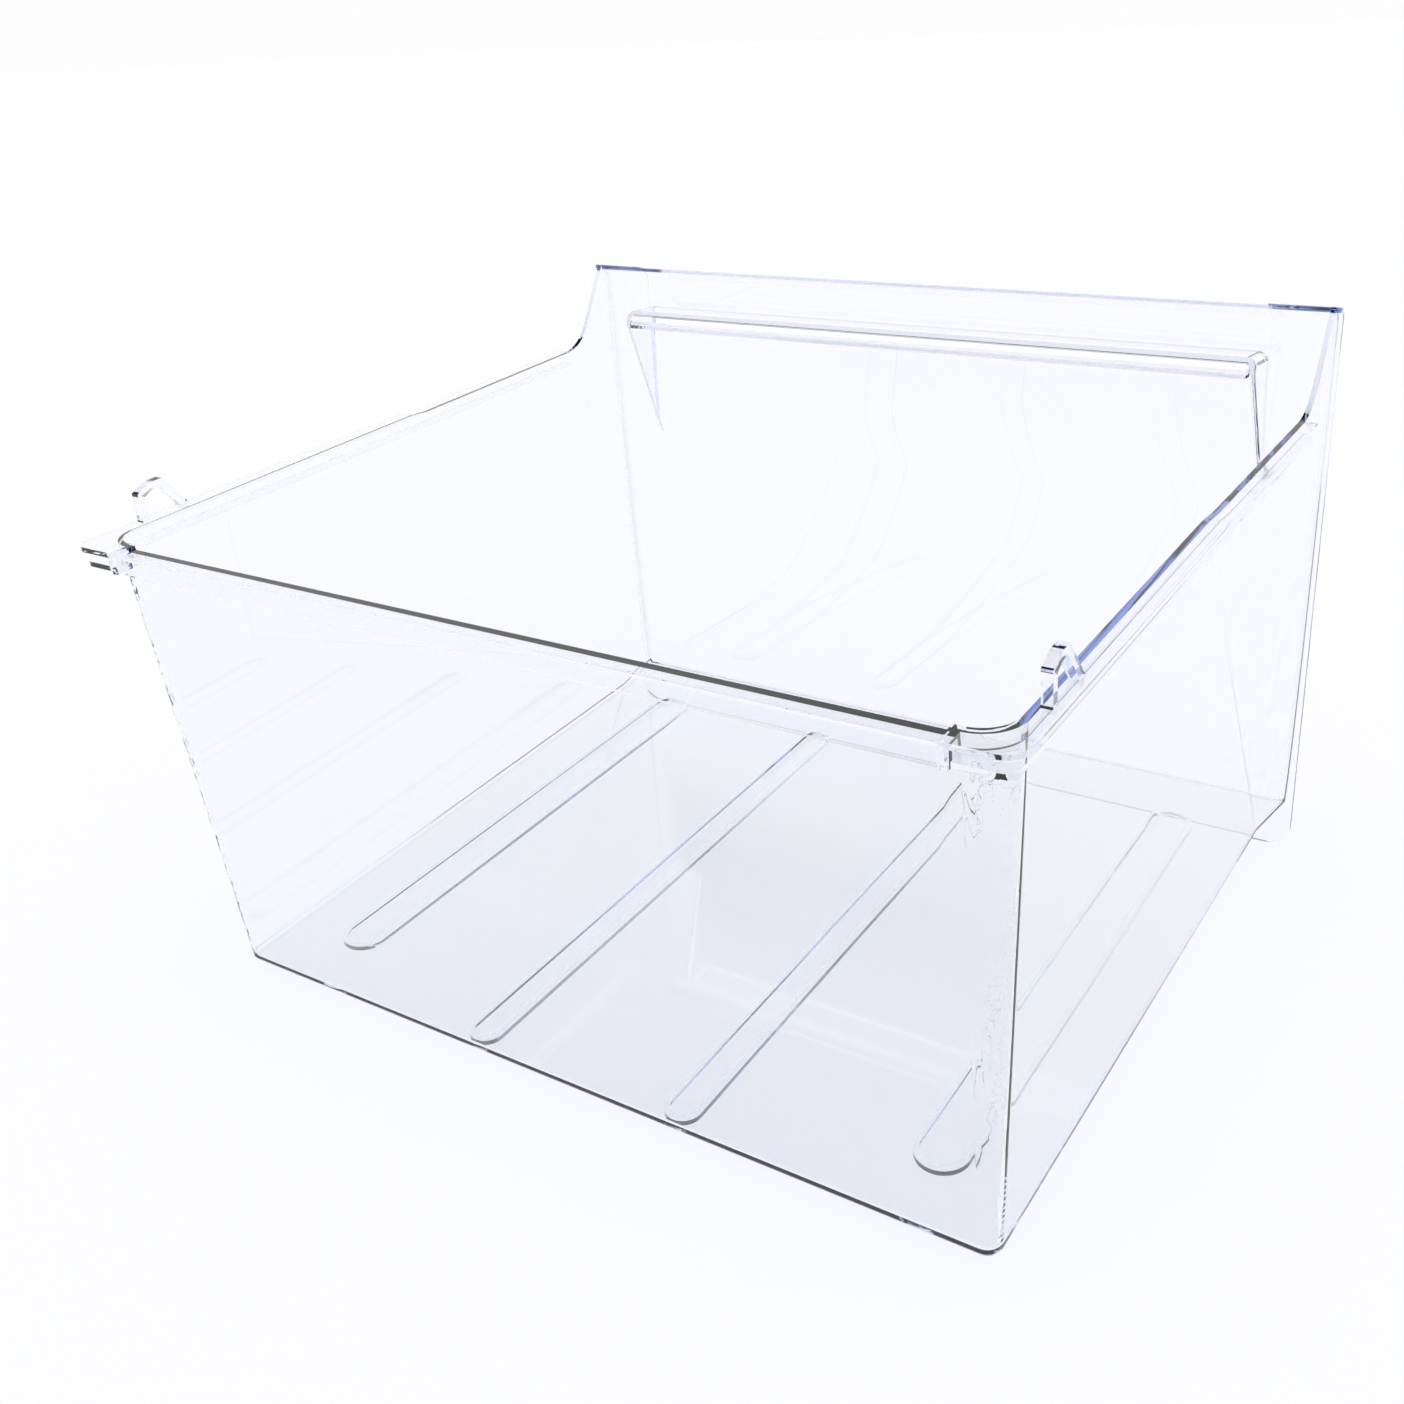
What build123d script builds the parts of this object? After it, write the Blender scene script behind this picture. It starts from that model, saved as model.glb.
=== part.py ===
# Clear fridge drawer, moulded in one piece.
# Millimetres. The drawer is drawn level, with its floor on z = 0, the front panel facing -Y
# and the low rear wall facing +Y. At the end it is stood down as it rests on a table:
# on the lower edge of the front panel, which hangs below the floor, and the floor's skids.
from build123d import *

import math
import os

# Overall
panel_width = 451.0        # front panel at its top edge
depth = 411.0              # face of the front panel to the rear edge of the rails
panel_height = 278.0       # floor to the top of the front panel
wall = 2.6                 # moulded wall thickness everywhere

# Front panel: a flat sheet that leans and narrows downwards and hangs below the floor
panel_hang = 25.5          # lower edge of the panel below the floor
panel_lean = 8.0           # lower edge of the panel behind its top
panel_taper = 9.5          # half width lost from the top of the panel to its lower edge
panel_flange = 2.0         # edges of the panel beyond the side walls
panel_corner = 13.0        # rounded lower corners of the panel
roll_radius = 9.0          # top edge, rolled back over the drawer

# Tub: foot on the floor, flaring out to the rim
cheek_rise = 44.4          # top of the panel above the side rails
foot_inset_rear = 22.0     # panel edge to the foot of the side wall at the rear
foot_inset_front = 18.2    # panel edge to the foot of the side wall at the crease
rim_inset = 5.6            # panel edge to the side wall at the rim
rear_foot_inset = 30.8     # rear edge of the rails to the foot of the rear wall
rear_rim_inset = 9.6       # rear edge of the rails to the rear wall at the rim
foot_corner = 7.0          # rear corner radius at the floor
foot_ease = 1.2            # eased lower edge, width
foot_rise = 2.0            # eased lower edge, height
rim_corner = 18.5          # rear corner radius at the top

# Creases where the side walls turn out to the edges of the panel
crease_foot = 44.5         # foot of the crease, behind the face of the panel
crease_rim = 197.4         # the crease at the rim, behind the face of the panel

# Side cheeks that climb from the rim to the top of the panel
cheek_foot = 39.7          # where the climb would start, behind the face of the panel
cheek_bend = 27.0          # radius at the foot of the climb

# Rails: a channel between two fins along each side and round the rear corners
rail_overhang = 1.4        # upper fins beyond the panel's edge
fin = 2.4                  # thickness of a fin
channel = 5.4              # free height between the fins
lower_fin_inset = 2.4      # lower fin set back from the upper one
rail_corner = 7.0          # outer corner radius of the upper fin
rail_end = 27.2            # end of the rails on the rear wall, inwards of the upper fin's edge
channel_end = 3.6          # thickness of the closed ends of the channels
rail_front = 51.0          # front end of the rails, behind the face of the panel
step_drop = 1.2            # the rail tops step down at the crease
step_run = 12.0            # length of that step's ramp

# Rear rim: a narrow flange with a skirt, a little lower than the rails
rear_rim_drop = 2.6        # rear rim below the rail top
flange_inset = 3.5         # face of the skirt, ahead of the rear edge of the rails
skirt_drop = 9.0           # height of the skirt

# Stop loops on the rails near the rear corners
loop_thickness = 4.2
loop_rear = 33.5           # rear foot of the loop, ahead of the rear edge of the rails
loop_length = 32.0         # length of the loop at its foot
loop_height = 17.5         # height of the loop above the rail
loop_shoulder = 3.5        # height of the slanted rear shoulder
loop_rise = 8.0            # length of the slanted rear shoulder
loop_flat = 6.5            # length of the flat top
loop_bar = 3.6             # width of the bars of the loop
loop_inset = 2.4           # outer face of the loop, inside the edge of the upper fin

# Finger grip: a pocket in the face of the panel, deepest under its roof
grip_margin = 34.5         # ends of the pocket, inwards of the panel's top corners
grip_top = 23.0            # rear edge of the pocket's roof below the top of the panel
grip_heel = 10.0           # upright back of the pocket under its roof
grip_slope = 83.0          # height of the sloping back, down to the face of the panel
grip_depth = 31.5          # upright back behind the top of the panel
grip_roof_rise = 3.0       # how far the roof climbs from the panel to the back
grip_round = 6.0           # rounding of the roof's rear edge
grip_side_round = 5.0      # rounding of the pocket's ends
grip_recess = 0.6          # the panel's face between the pocket's ends lies back by this much

# Floor skids, pressed down out of the floor
skid_drop = 2.2
skid_inner = 55.0          # middle of an inner skid from the middle of the floor
skid_outer = 162.0         # middle of an outer skid from the middle of the floor
skid_inner_width = 17.0
skid_outer_width = 24.0
skid_front = 45.0          # front end of the skids, behind the face of the panel
skid_inner_rear = 37.0     # rear end of the inner skids, ahead of the rear edge of the rails
skid_outer_rear = 63.0     # rear end of the outer skids, ahead of the rear edge of the rails

front = -depth / 2
rear = depth / 2
half = panel_width / 2
rail_top = panel_height - cheek_rise
rail_half = half + rail_overhang
rear_rim = rail_top - rear_rim_drop
panel_tall = panel_height + panel_hang
lean = math.atan2(panel_lean, panel_tall)
roll_y = front + roll_radius * (math.cos(lean) + math.tan(lean) * (1 + math.sin(lean)))
roll_z = panel_height - roll_radius
lower_fin_top = rail_top - fin - channel
notch = rail_half - rail_end


def carried(foot, rim, level):
    """Carry the straight flare from the foot through the rim to another level."""
    return foot + (rim - foot) * level / rail_top


def half_panel(level):
    """Half the width of the front panel at a level."""
    return half - panel_taper * (panel_height - level) / panel_tall


def face(level, inset):
    """The face of the panel at a level, or with an inset a line inside its sheet."""
    return front + math.tan(lean) * (panel_height - level) + inset / math.cos(lean)


def tub(inset):
    """The closed tub, running out ahead of the panel; with an inset, the hollow within its walls."""
    with BuildPart() as body:
        for level, ease in ((inset, foot_ease), (inset + foot_rise, 0.0), (panel_height, 0.0)):
            radius = foot_corner + (rim_corner - foot_corner) * level / panel_height
            rear_half = half - carried(foot_inset_rear, rim_inset, level)
            crease_half = half - carried(foot_inset_front, rim_inset, level)
            front_half = half_panel(level) - panel_flange
            rear_y = rear - carried(rear_foot_inset, rear_rim_inset, level)
            crease_y = front + carried(crease_foot, crease_rim, level)
            with BuildSketch(Plane.XY.offset(level)):
                with BuildLine():
                    Polyline(
                        (rear_half, rear_y), (crease_half, crease_y), (front_half, front - wall),
                        (-front_half, front - wall), (-crease_half, crease_y), (-rear_half, rear_y),
                        close=True,
                    )
                make_face()
                fillet(vertices().group_by(Axis.Y)[-1], radius)
                if inset + ease:
                    offset(amount=-inset - ease, kind=Kind.INTERSECTION)
        loft(ruled=True)
    return body.part


def sheet_line(inset):
    """Side view of the panel's sheet up to its rolled top, as the line at an inset from its face."""
    radius = roll_radius - inset
    start = (roll_y - radius * math.cos(lean), roll_z - radius * math.sin(lean))
    middle = math.radians(135) + lean / 2
    with BuildLine(mode=Mode.PRIVATE) as line:
        Line((face(-panel_hang, inset), -panel_hang), start)
        ThreePointArc(
            start, (roll_y + radius * math.cos(middle), roll_z + radius * math.sin(middle)),
            (roll_y, roll_z + radius),
        )
    return line.line


def grip_shape(inset):
    """The wedge of the grip, carried on through the panel; with an inset, the pocket within its walls."""
    back = front + grip_depth
    lip = panel_height - grip_top
    heel = lip - grip_heel
    run = back - face(heel - grip_slope, 0.0)
    ahead = run + 2 * wall
    with BuildPart() as shape:
        with BuildSketch(Plane.YZ):
            with BuildLine():
                Polyline(
                    (back, lip), (back, heel), (back - ahead, heel - grip_slope * ahead / run),
                    (back - ahead, lip - grip_roof_rise * ahead / run), close=True,
                )
            make_face()
            if inset:
                offset(amount=-inset, kind=Kind.INTERSECTION)
            fillet(vertices().group_by(Axis.Y)[-1], grip_round - inset)
        extrude(amount=half - grip_margin - inset, both=True)
        ends = shape.faces().sort_by(Axis.X)
        fillet(ends[0].edges() + ends[-1].edges(), grip_side_round - inset)
    return shape.part


def skids(inset, bottom, top):
    """The four skids as solid bars with round ends, inset at their sides, between two levels."""
    with BuildPart() as bars:
        for place, width, tail in (
            (skid_inner, skid_inner_width, skid_inner_rear),
            (skid_outer, skid_outer_width, skid_outer_rear),
        ):
            length = depth - tail - skid_front
            with BuildSketch(Plane.XY.offset(bottom)):
                with Locations((-place, rear - tail - length / 2), (place, rear - tail - length / 2)):
                    SlotOverall(length - 2 * inset, width - 2 * inset, rotation=90)
            extrude(amount=top - bottom)
    return bars.part


# The hollow: open above, with the grip standing into it and the skids' valleys in its floor
with BuildPart() as hollow:
    add(tub(wall))
    with BuildSketch(Plane.YZ):
        with BuildLine():
            add(sheet_line(wall))
            Polyline(
                (roll_y, panel_height - wall), (roll_y, panel_height + wall), (rear, panel_height + wall),
                (rear, -panel_hang), (face(-panel_hang, wall), -panel_hang),
            )
        make_face()
    extrude(amount=panel_width, both=True, mode=Mode.INTERSECT)
    add(grip_shape(0.0), mode=Mode.SUBTRACT)
    add(skids(wall, wall - skid_drop, 2 * wall))

# The front panel: a sheet with a rolled top, narrowing to rounded lower corners
with BuildPart() as panel:
    with BuildSketch(Plane.YZ):
        with BuildLine():
            add(sheet_line(0.0))
            Line((roll_y, panel_height), (roll_y, panel_height - wall))
            add(sheet_line(wall))
            Line((face(-panel_hang, wall), -panel_hang), (face(-panel_hang, 0.0), -panel_hang))
        make_face()
    extrude(amount=panel_width, both=True)
    with BuildSketch(Plane.XZ):
        above = panel_height + roll_radius
        with BuildLine():
            Polyline(
                (half_panel(above), above), (half_panel(-panel_hang), -panel_hang),
                (-half_panel(-panel_hang), -panel_hang), (-half_panel(above), above), close=True,
            )
        make_face()
        fillet(vertices().group_by(Axis.Y)[0], panel_corner)
    extrude(amount=depth, both=True, mode=Mode.INTERSECT)

# The shallow step in the face of the panel, from the mouth of the pocket to the rolled top
with BuildPart() as recess:
    with BuildSketch(Plane.YZ):
        foot = panel_height - grip_top - grip_heel - grip_slope + 4 * wall
        with BuildLine():
            add(sheet_line(grip_recess))
            Polyline(
                (roll_y, panel_height - grip_recess), (roll_y, panel_height + wall),
                (front - wall, panel_height + wall), (front - wall, -panel_hang),
                (face(-panel_hang, grip_recess), -panel_hang),
            )
        make_face()
    extrude(amount=half - grip_margin, both=True)
    with Locations((0, front, foot + panel_height / 2)):
        Box(panel_width, depth, panel_height, mode=Mode.INTERSECT)

# One stop loop, on the +X rail: two legs and a top bar, rooted in the upper fin
with BuildPart() as loop:
    root = rail_top - fin / 2
    heel = rear - loop_rear
    with BuildSketch(Plane.YZ.offset(rail_half - loop_inset - loop_thickness)):
        with BuildLine():
            Polyline(
                (heel, root - loop_bar),
                (heel, rail_top + loop_height - loop_shoulder),
                (heel - loop_rise, rail_top + loop_height),
                (heel - loop_rise - loop_flat, rail_top + loop_height),
                (heel - loop_length, root - loop_bar),
                close=True,
            )
        make_face()
        offset(amount=-loop_bar, kind=Kind.INTERSECTION, mode=Mode.SUBTRACT)
        with Locations((heel, root - loop_bar)):
            Rectangle(3 * loop_length, 2 * loop_bar, mode=Mode.SUBTRACT)
    extrude(amount=loop_thickness)

# The drawer, still level
with BuildPart() as moulding:
    add(tub(0.0))
    # fins of the rails, open across the middle of the rear wall
    for level, set_back in ((rail_top - fin, 0.0), (lower_fin_top - fin, lower_fin_inset)):
        with BuildSketch(Plane.XY.offset(level)):
            length = depth - rail_front - set_back
            with Locations((0, front + rail_front + length / 2)):
                Rectangle(2 * (rail_half - set_back), length)
            fillet(vertices().group_by(Axis.Y)[-1], rail_corner - set_back)
            with Locations((0, rear)):
                Rectangle(2 * notch, 4 * rear_rim_inset, mode=Mode.SUBTRACT)
        extrude(amount=fin)
    # closed ends of the channels
    with BuildSketch(Plane.XY.offset(lower_fin_top - fin)):
        middle = notch + channel_end / 2
        with Locations((middle, rear - rear_rim_inset), (-middle, rear - rear_rim_inset)):
            Rectangle(channel_end, 2 * rear_rim_inset)
    extrude(amount=channel + 2 * fin)
    # top line of the rim and of the cheeks, up to the panel
    with BuildSketch(Plane.YZ):
        with BuildLine():
            add(sheet_line(wall / 2))
            Line((roll_y, panel_height - wall / 2), (roll_y, panel_height))
            FilletPolyline(
                (roll_y, panel_height), (front + cheek_foot, rail_top - step_drop),
                (front + crease_rim - step_run, rail_top - step_drop), radius=cheek_bend,
            )
            Polyline(
                (front + crease_rim - step_run, rail_top - step_drop), (front + crease_rim, rail_top),
                (rear + wall, rail_top), (rear + wall, -panel_hang),
                (face(-panel_hang, wall / 2), -panel_hang),
            )
        make_face()
    extrude(amount=panel_width, both=True, mode=Mode.INTERSECT)
    # rear wall between the rails, cut down and given its flange and skirt
    with BuildSketch(Plane.XY.offset(rear_rim)):
        with Locations((0, rear)):
            Rectangle(2 * notch, 6 * rear_rim_inset)
    extrude(amount=rail_top, mode=Mode.SUBTRACT)
    with BuildSketch(Plane.YZ):
        skirt = rear - flange_inset
        with BuildLine():
            Polyline(
                (rear - rear_rim_inset - wall, rear_rim), (skirt, rear_rim), (skirt, rear_rim - skirt_drop),
                (skirt - fin, rear_rim - skirt_drop), (skirt - fin, rear_rim - fin),
                (rear - rear_rim_inset - wall, rear_rim - fin), close=True,
            )
        make_face()
    extrude(amount=notch + fin / 2, both=True)
    # front panel, skids and stop loops
    add(panel.part)
    add(skids(0.0, -skid_drop, wall))
    add(loop.part)
    add(mirror(loop.part, about=Plane.YZ, mode=Mode.PRIVATE))
    # hollow inside and finger pocket in front
    add(hollow.part, mode=Mode.SUBTRACT)
    add(grip_shape(wall), mode=Mode.SUBTRACT)
    add(recess.part, mode=Mode.SUBTRACT)

# Stood down on the panel's lower edge and the rear ends of the inner skids
reach = rear - skid_inner_rear - face(-panel_hang, wall)
tilt = math.degrees(math.atan2(panel_hang - skid_drop, reach))
box = (Rot(X=-tilt) * moulding.part).bounding_box()
with BuildPart() as drawer:
    with Locations(Pos(0, -box.center().Y, -box.min.Z) * Rot(X=-tilt)):
        add(moulding.part)
drawer.part.label = "drawer"
os.makedirs("parts", exist_ok=True)
export_step(drawer.part, "parts/drawer.step")
print("drawer", drawer.part.volume, drawer.part.bounding_box(), len(drawer.part.solids()))
print("leans back", tilt, "degrees, set down by", -box.center().Y, -box.min.Z)
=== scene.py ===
# %% [markdown]
# # A clear fridge drawer
# The drawer is one moulding of clear polystyrene, so all of its shape is in the CAD part.
# This lesson dresses that part: it finds the photograph's camera, smooths the moulding's
# rounded corners, gives the plastic its finish, and sets a pale table and a room whose
# dark ceiling is what the clear edges bend into view.

# %% Load the CAD part
import math

import bmesh
import bpy
from mathutils import Matrix, Vector


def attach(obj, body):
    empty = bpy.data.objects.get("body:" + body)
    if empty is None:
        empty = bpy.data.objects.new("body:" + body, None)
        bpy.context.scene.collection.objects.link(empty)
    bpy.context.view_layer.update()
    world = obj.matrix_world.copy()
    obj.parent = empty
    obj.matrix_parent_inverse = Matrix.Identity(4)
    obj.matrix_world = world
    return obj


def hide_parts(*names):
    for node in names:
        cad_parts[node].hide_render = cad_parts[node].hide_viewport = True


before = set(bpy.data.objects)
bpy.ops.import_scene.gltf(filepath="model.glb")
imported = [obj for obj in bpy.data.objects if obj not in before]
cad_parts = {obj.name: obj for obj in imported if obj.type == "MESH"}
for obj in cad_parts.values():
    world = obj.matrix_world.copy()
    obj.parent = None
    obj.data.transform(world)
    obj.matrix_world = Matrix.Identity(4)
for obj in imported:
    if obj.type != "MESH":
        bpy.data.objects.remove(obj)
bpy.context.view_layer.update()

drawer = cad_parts["drawer"]

# %% [markdown]
# ## The camera
# The photograph looks over the low rear wall towards the tall front panel, from behind and
# to one side. Its place was solved from the drawer's own straight edges, so it is written
# for a level drawer. Azimuth, elevation and roll turn the camera; the shift puts the
# picture's middle where the crop left it. The drawer leans back on its hanging front panel,
# and the camera is carried along with that lean.

# %% Place the camera
PHOTO_SIDE = 1404.0
FOCAL_PX = 1597.85
CENTRE_PX = (690.0, 512.1)
SENSOR_MM = 36.0
AZIMUTH, ELEVATION, ROLL = (math.radians(a) for a in (144.91, 20.04, -4.66))
CAMERA_PLACE = (-0.39366, 0.60312, 0.47428)
LEAN = math.radians(3.6686)
SET_DOWN_PLACE = (0, -0.01065, 0.01298)

forward = Vector((
    math.sin(AZIMUTH) * math.cos(ELEVATION),
    math.cos(AZIMUTH) * math.cos(ELEVATION),
    -math.sin(ELEVATION),
))
level_right = forward.cross(Vector((0, 0, 1))).normalized()
level_up = level_right.cross(forward)
right = math.cos(ROLL) * level_right + math.sin(ROLL) * level_up
up = -math.sin(ROLL) * level_right + math.cos(ROLL) * level_up

lens = bpy.data.cameras.new("camera")
lens.sensor_width = SENSOR_MM
lens.lens = SENSOR_MM * FOCAL_PX / PHOTO_SIDE
lens.shift_x = (PHOTO_SIDE / 2 - CENTRE_PX[0]) / PHOTO_SIDE
lens.shift_y = (CENTRE_PX[1] - PHOTO_SIDE / 2) / PHOTO_SIDE
lens.clip_start = 0.01
camera = bpy.data.objects.new("camera", lens)
bpy.context.scene.collection.objects.link(camera)
turn = Matrix((right, up, -forward)).transposed().to_4x4()
set_down = Matrix.Translation(SET_DOWN_PLACE) @ Matrix.Rotation(-LEAN, 4, "X")
camera.matrix_world = set_down @ Matrix.Translation(CAMERA_PLACE) @ turn
bpy.context.scene.camera = camera
print("camera lens", round(lens.lens, 2), "mm")

# %% [markdown]
# ## True edges
# Refraction shows every facet of a curved wall, and the CAD mesh is loose triangles. A copy
# is merged and its true edges are marked sharp by their angle. The shallow crease in each
# side wall is too blunt for that, so it is found by its place: a straight line from foot to
# rim, written for a level drawer.

# %% Merge a copy and mark its edges
MERGE_DISTANCE = 2e-6
EDGE_ANGLE = math.radians(24.0)
CREASE_ANGLE = math.radians(1.5)
CREASE_REACH = 0.004
crease_foot = set_down @ Vector((0.2073, -0.1610, 0.0))
crease_rim = set_down @ Vector((0.2199, -0.0081, 0.2336))
along_crease = (crease_rim - crease_foot).normalized()


def by_crease(vertex):
    beside = Vector((abs(vertex.co.x), vertex.co.y, vertex.co.z)) - crease_foot
    return beside.cross(along_crease).length < CREASE_REACH


shape = bmesh.new()
shape.from_mesh(drawer.data)
bmesh.ops.remove_doubles(shape, verts=shape.verts, dist=MERGE_DISTANCE)
bmesh.ops.dissolve_degenerate(shape, edges=shape.edges, dist=1e-7)
for face in shape.faces:
    face.smooth = True
sharp = folds = 0
for edge in shape.edges:
    angle = edge.calc_face_angle(math.pi)
    fold = angle > CREASE_ANGLE and all(by_crease(vertex) for vertex in edge.verts)
    edge.smooth = angle < EDGE_ANGLE and not fold
    sharp += not edge.smooth
    folds += fold
merged = bpy.data.meshes.new("clear moulding")
shape.to_mesh(merged)
shape.free()
print(sharp, "sharp edges,", folds, "of them in the creases")

# %% [markdown]
# ## A smooth moulding
# On the real drawer the corners, the rolled top and the grip's edges are polished curves
# between flat walls. A Weighted Normal modifier gives that: the large flat faces keep their
# own direction and only the curves bend. Remeshing would lose the thin walls; this keeps
# every point where the CAD put it. The result is made a plain mesh and takes the part's place.

# %% Smooth the copy
moulding = bpy.data.objects.new("clear_moulding", merged)
bpy.context.scene.collection.objects.link(moulding)
weigh = moulding.modifiers.new("flat walls stay flat", "WEIGHTED_NORMAL")
weigh.keep_sharp = True
weigh.weight = 100
bpy.context.view_layer.update()
finished = moulding.evaluated_get(bpy.context.evaluated_depsgraph_get())
smoothed = bpy.data.meshes.new_from_object(finished)
moulding.modifiers.clear()
moulding.data = smoothed
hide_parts("drawer")
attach(moulding, "root")
print("moulding:", len(smoothed.polygons), "faces")

# %% [markdown]
# ## Clear polystyrene
# Polystyrene bends light more than window glass, and its polished faces keep a sharp
# gloss. A Principled shader with full transmission carries both. A little absorption in
# the depth of the plastic takes out red, so thin walls stay almost colourless and long
# edges, seen end on, turn blue as they do on the real thing.

# %% Make the plastic
plastic = bpy.data.materials.new("clear polystyrene")
plastic.use_nodes = True
nodes, links = plastic.node_tree.nodes, plastic.node_tree.links
output = nodes["Material Output"]
shader = nodes["Principled BSDF"]
shader.inputs["Base Color"].default_value = (0.99, 0.99, 1.0, 1.0)
shader.inputs["Transmission Weight"].default_value = 1.0
shader.inputs["Roughness"].default_value = 0.01
shader.inputs["IOR"].default_value = 1.59
depth = nodes.new("ShaderNodeVolumeAbsorption")
depth.inputs["Color"].default_value = (0.34, 0.50, 0.86, 1.0)
depth.inputs["Density"].default_value = 8.0
links.new(depth.outputs["Volume"], output.inputs["Volume"])
moulding.data.materials.clear()
moulding.data.materials.append(plastic)
print("material:", plastic.name)

# %% [markdown]
# ## Light through the plastic
# Light on its way to the table passes straight through with a small loss, which gives the
# drawer a faint shadow and saves the long wait for bent light. Inside an edge, light is
# thrown back many times before it leaves. The usual limit of four would end it there as
# black, so the limits are raised.

# %% Let light through
clear = nodes.new("ShaderNodeBsdfTransparent")
clear.inputs["Color"].default_value = (0.992, 0.993, 0.997, 1.0)
path = nodes.new("ShaderNodeLightPath")
straight = nodes.new("ShaderNodeMath")
straight.operation = "MAXIMUM"
links.new(path.outputs["Is Shadow Ray"], straight.inputs[0])
links.new(path.outputs["Is Diffuse Ray"], straight.inputs[1])
pass_light = nodes.new("ShaderNodeMixShader")
links.new(straight.outputs["Value"], pass_light.inputs["Fac"])
links.new(shader.outputs["BSDF"], pass_light.inputs[1])
links.new(clear.outputs["BSDF"], pass_light.inputs[2])
links.new(pass_light.outputs["Shader"], output.inputs["Surface"])
paths = bpy.context.scene.cycles
paths.max_bounces = 32
paths.glossy_bounces = 24
paths.transmission_bounces = 32
paths.transparent_max_bounces = 32
print("light may turn", paths.max_bounces, "times")

# %% [markdown]
# ## The table
# The object stands on a wide white table. It is one plain matt colour, the same seen
# directly, in a reflection or through the plastic, so the clear walls show the background
# that the picture shows, and the table keeps the drawer's faint shadow.

# %% Set the table
TABLE_SIDE = 60.0
TABLE_GAP = 0.0005
bpy.ops.mesh.primitive_plane_add(size=TABLE_SIDE, location=(0, 0, -TABLE_GAP))
table = bpy.context.object
table.name = "table"
paper = bpy.data.materials.new("white table")
paper.use_nodes = True
matt = paper.node_tree.nodes["Principled BSDF"]
matt.inputs["Base Color"].default_value = (0.97, 0.97, 0.965, 1.0)
matt.inputs["Roughness"].default_value = 0.9
matt.inputs["Specular IOR Level"].default_value = 0.0
table.data.materials.append(paper)
print("table set,", TABLE_SIDE, "m wide")

# %% [markdown]
# ## The room
# Clear things are seen by what they bend into view. The room is white all round at eye
# level and deep slate blue overhead, the same for every ray: walls pass the pale part, and
# rims, loops and fillets catch the dark. A colour ramp on the height of each direction
# makes it without any walls.

# %% Paint the room
PALE_BELOW = 0.48
DARK_ABOVE = 0.68
world = bpy.data.worlds.new("room")
bpy.context.scene.world = world
world.use_nodes = True
room_nodes, room_links = world.node_tree.nodes, world.node_tree.links
sky = room_nodes["Background"]
where = room_nodes.new("ShaderNodeTexCoord")
split = room_nodes.new("ShaderNodeSeparateXYZ")
room_links.new(where.outputs["Generated"], split.inputs["Vector"])
ceiling = room_nodes.new("ShaderNodeValToRGB")
pale, dark = ceiling.color_ramp.elements
pale.position = PALE_BELOW
pale.color = (0.985, 0.985, 0.985, 1)
dark.position = DARK_ABOVE
dark.color = (0.012, 0.016, 0.06, 1)
room_links.new(split.outputs["Z"], ceiling.inputs["Fac"])
room_links.new(ceiling.outputs["Color"], sky.inputs["Color"])
sky.inputs["Strength"].default_value = 1.0
print("room:", world.name)

# %% [markdown]
# ## The lamp
# A dark ceiling lights a table poorly, so one broad overhead lamp makes up the rest, to the
# plain level at which a colour renders about as it is written. The lamp is kept out of
# reflections and out of what the plastic bends into view, where it would be a white patch.

# %% Hang the lamp
lamp = bpy.data.lights.new("overhead", "SUN")
lamp.energy = 2.25
lamp.angle = math.radians(70.0)
overhead = bpy.data.objects.new("overhead", lamp)
overhead.rotation_euler = (math.radians(-15.0), math.radians(-12.0), 0.0)
overhead.visible_glossy = False
overhead.visible_transmission = False
bpy.context.scene.collection.objects.link(overhead)
print("lamp at", lamp.energy)

# %% [markdown]
# ## Finish
# Colours are shown as they are, with the Standard view.

# %% Finish
bpy.context.scene.view_settings.view_transform = "Standard"
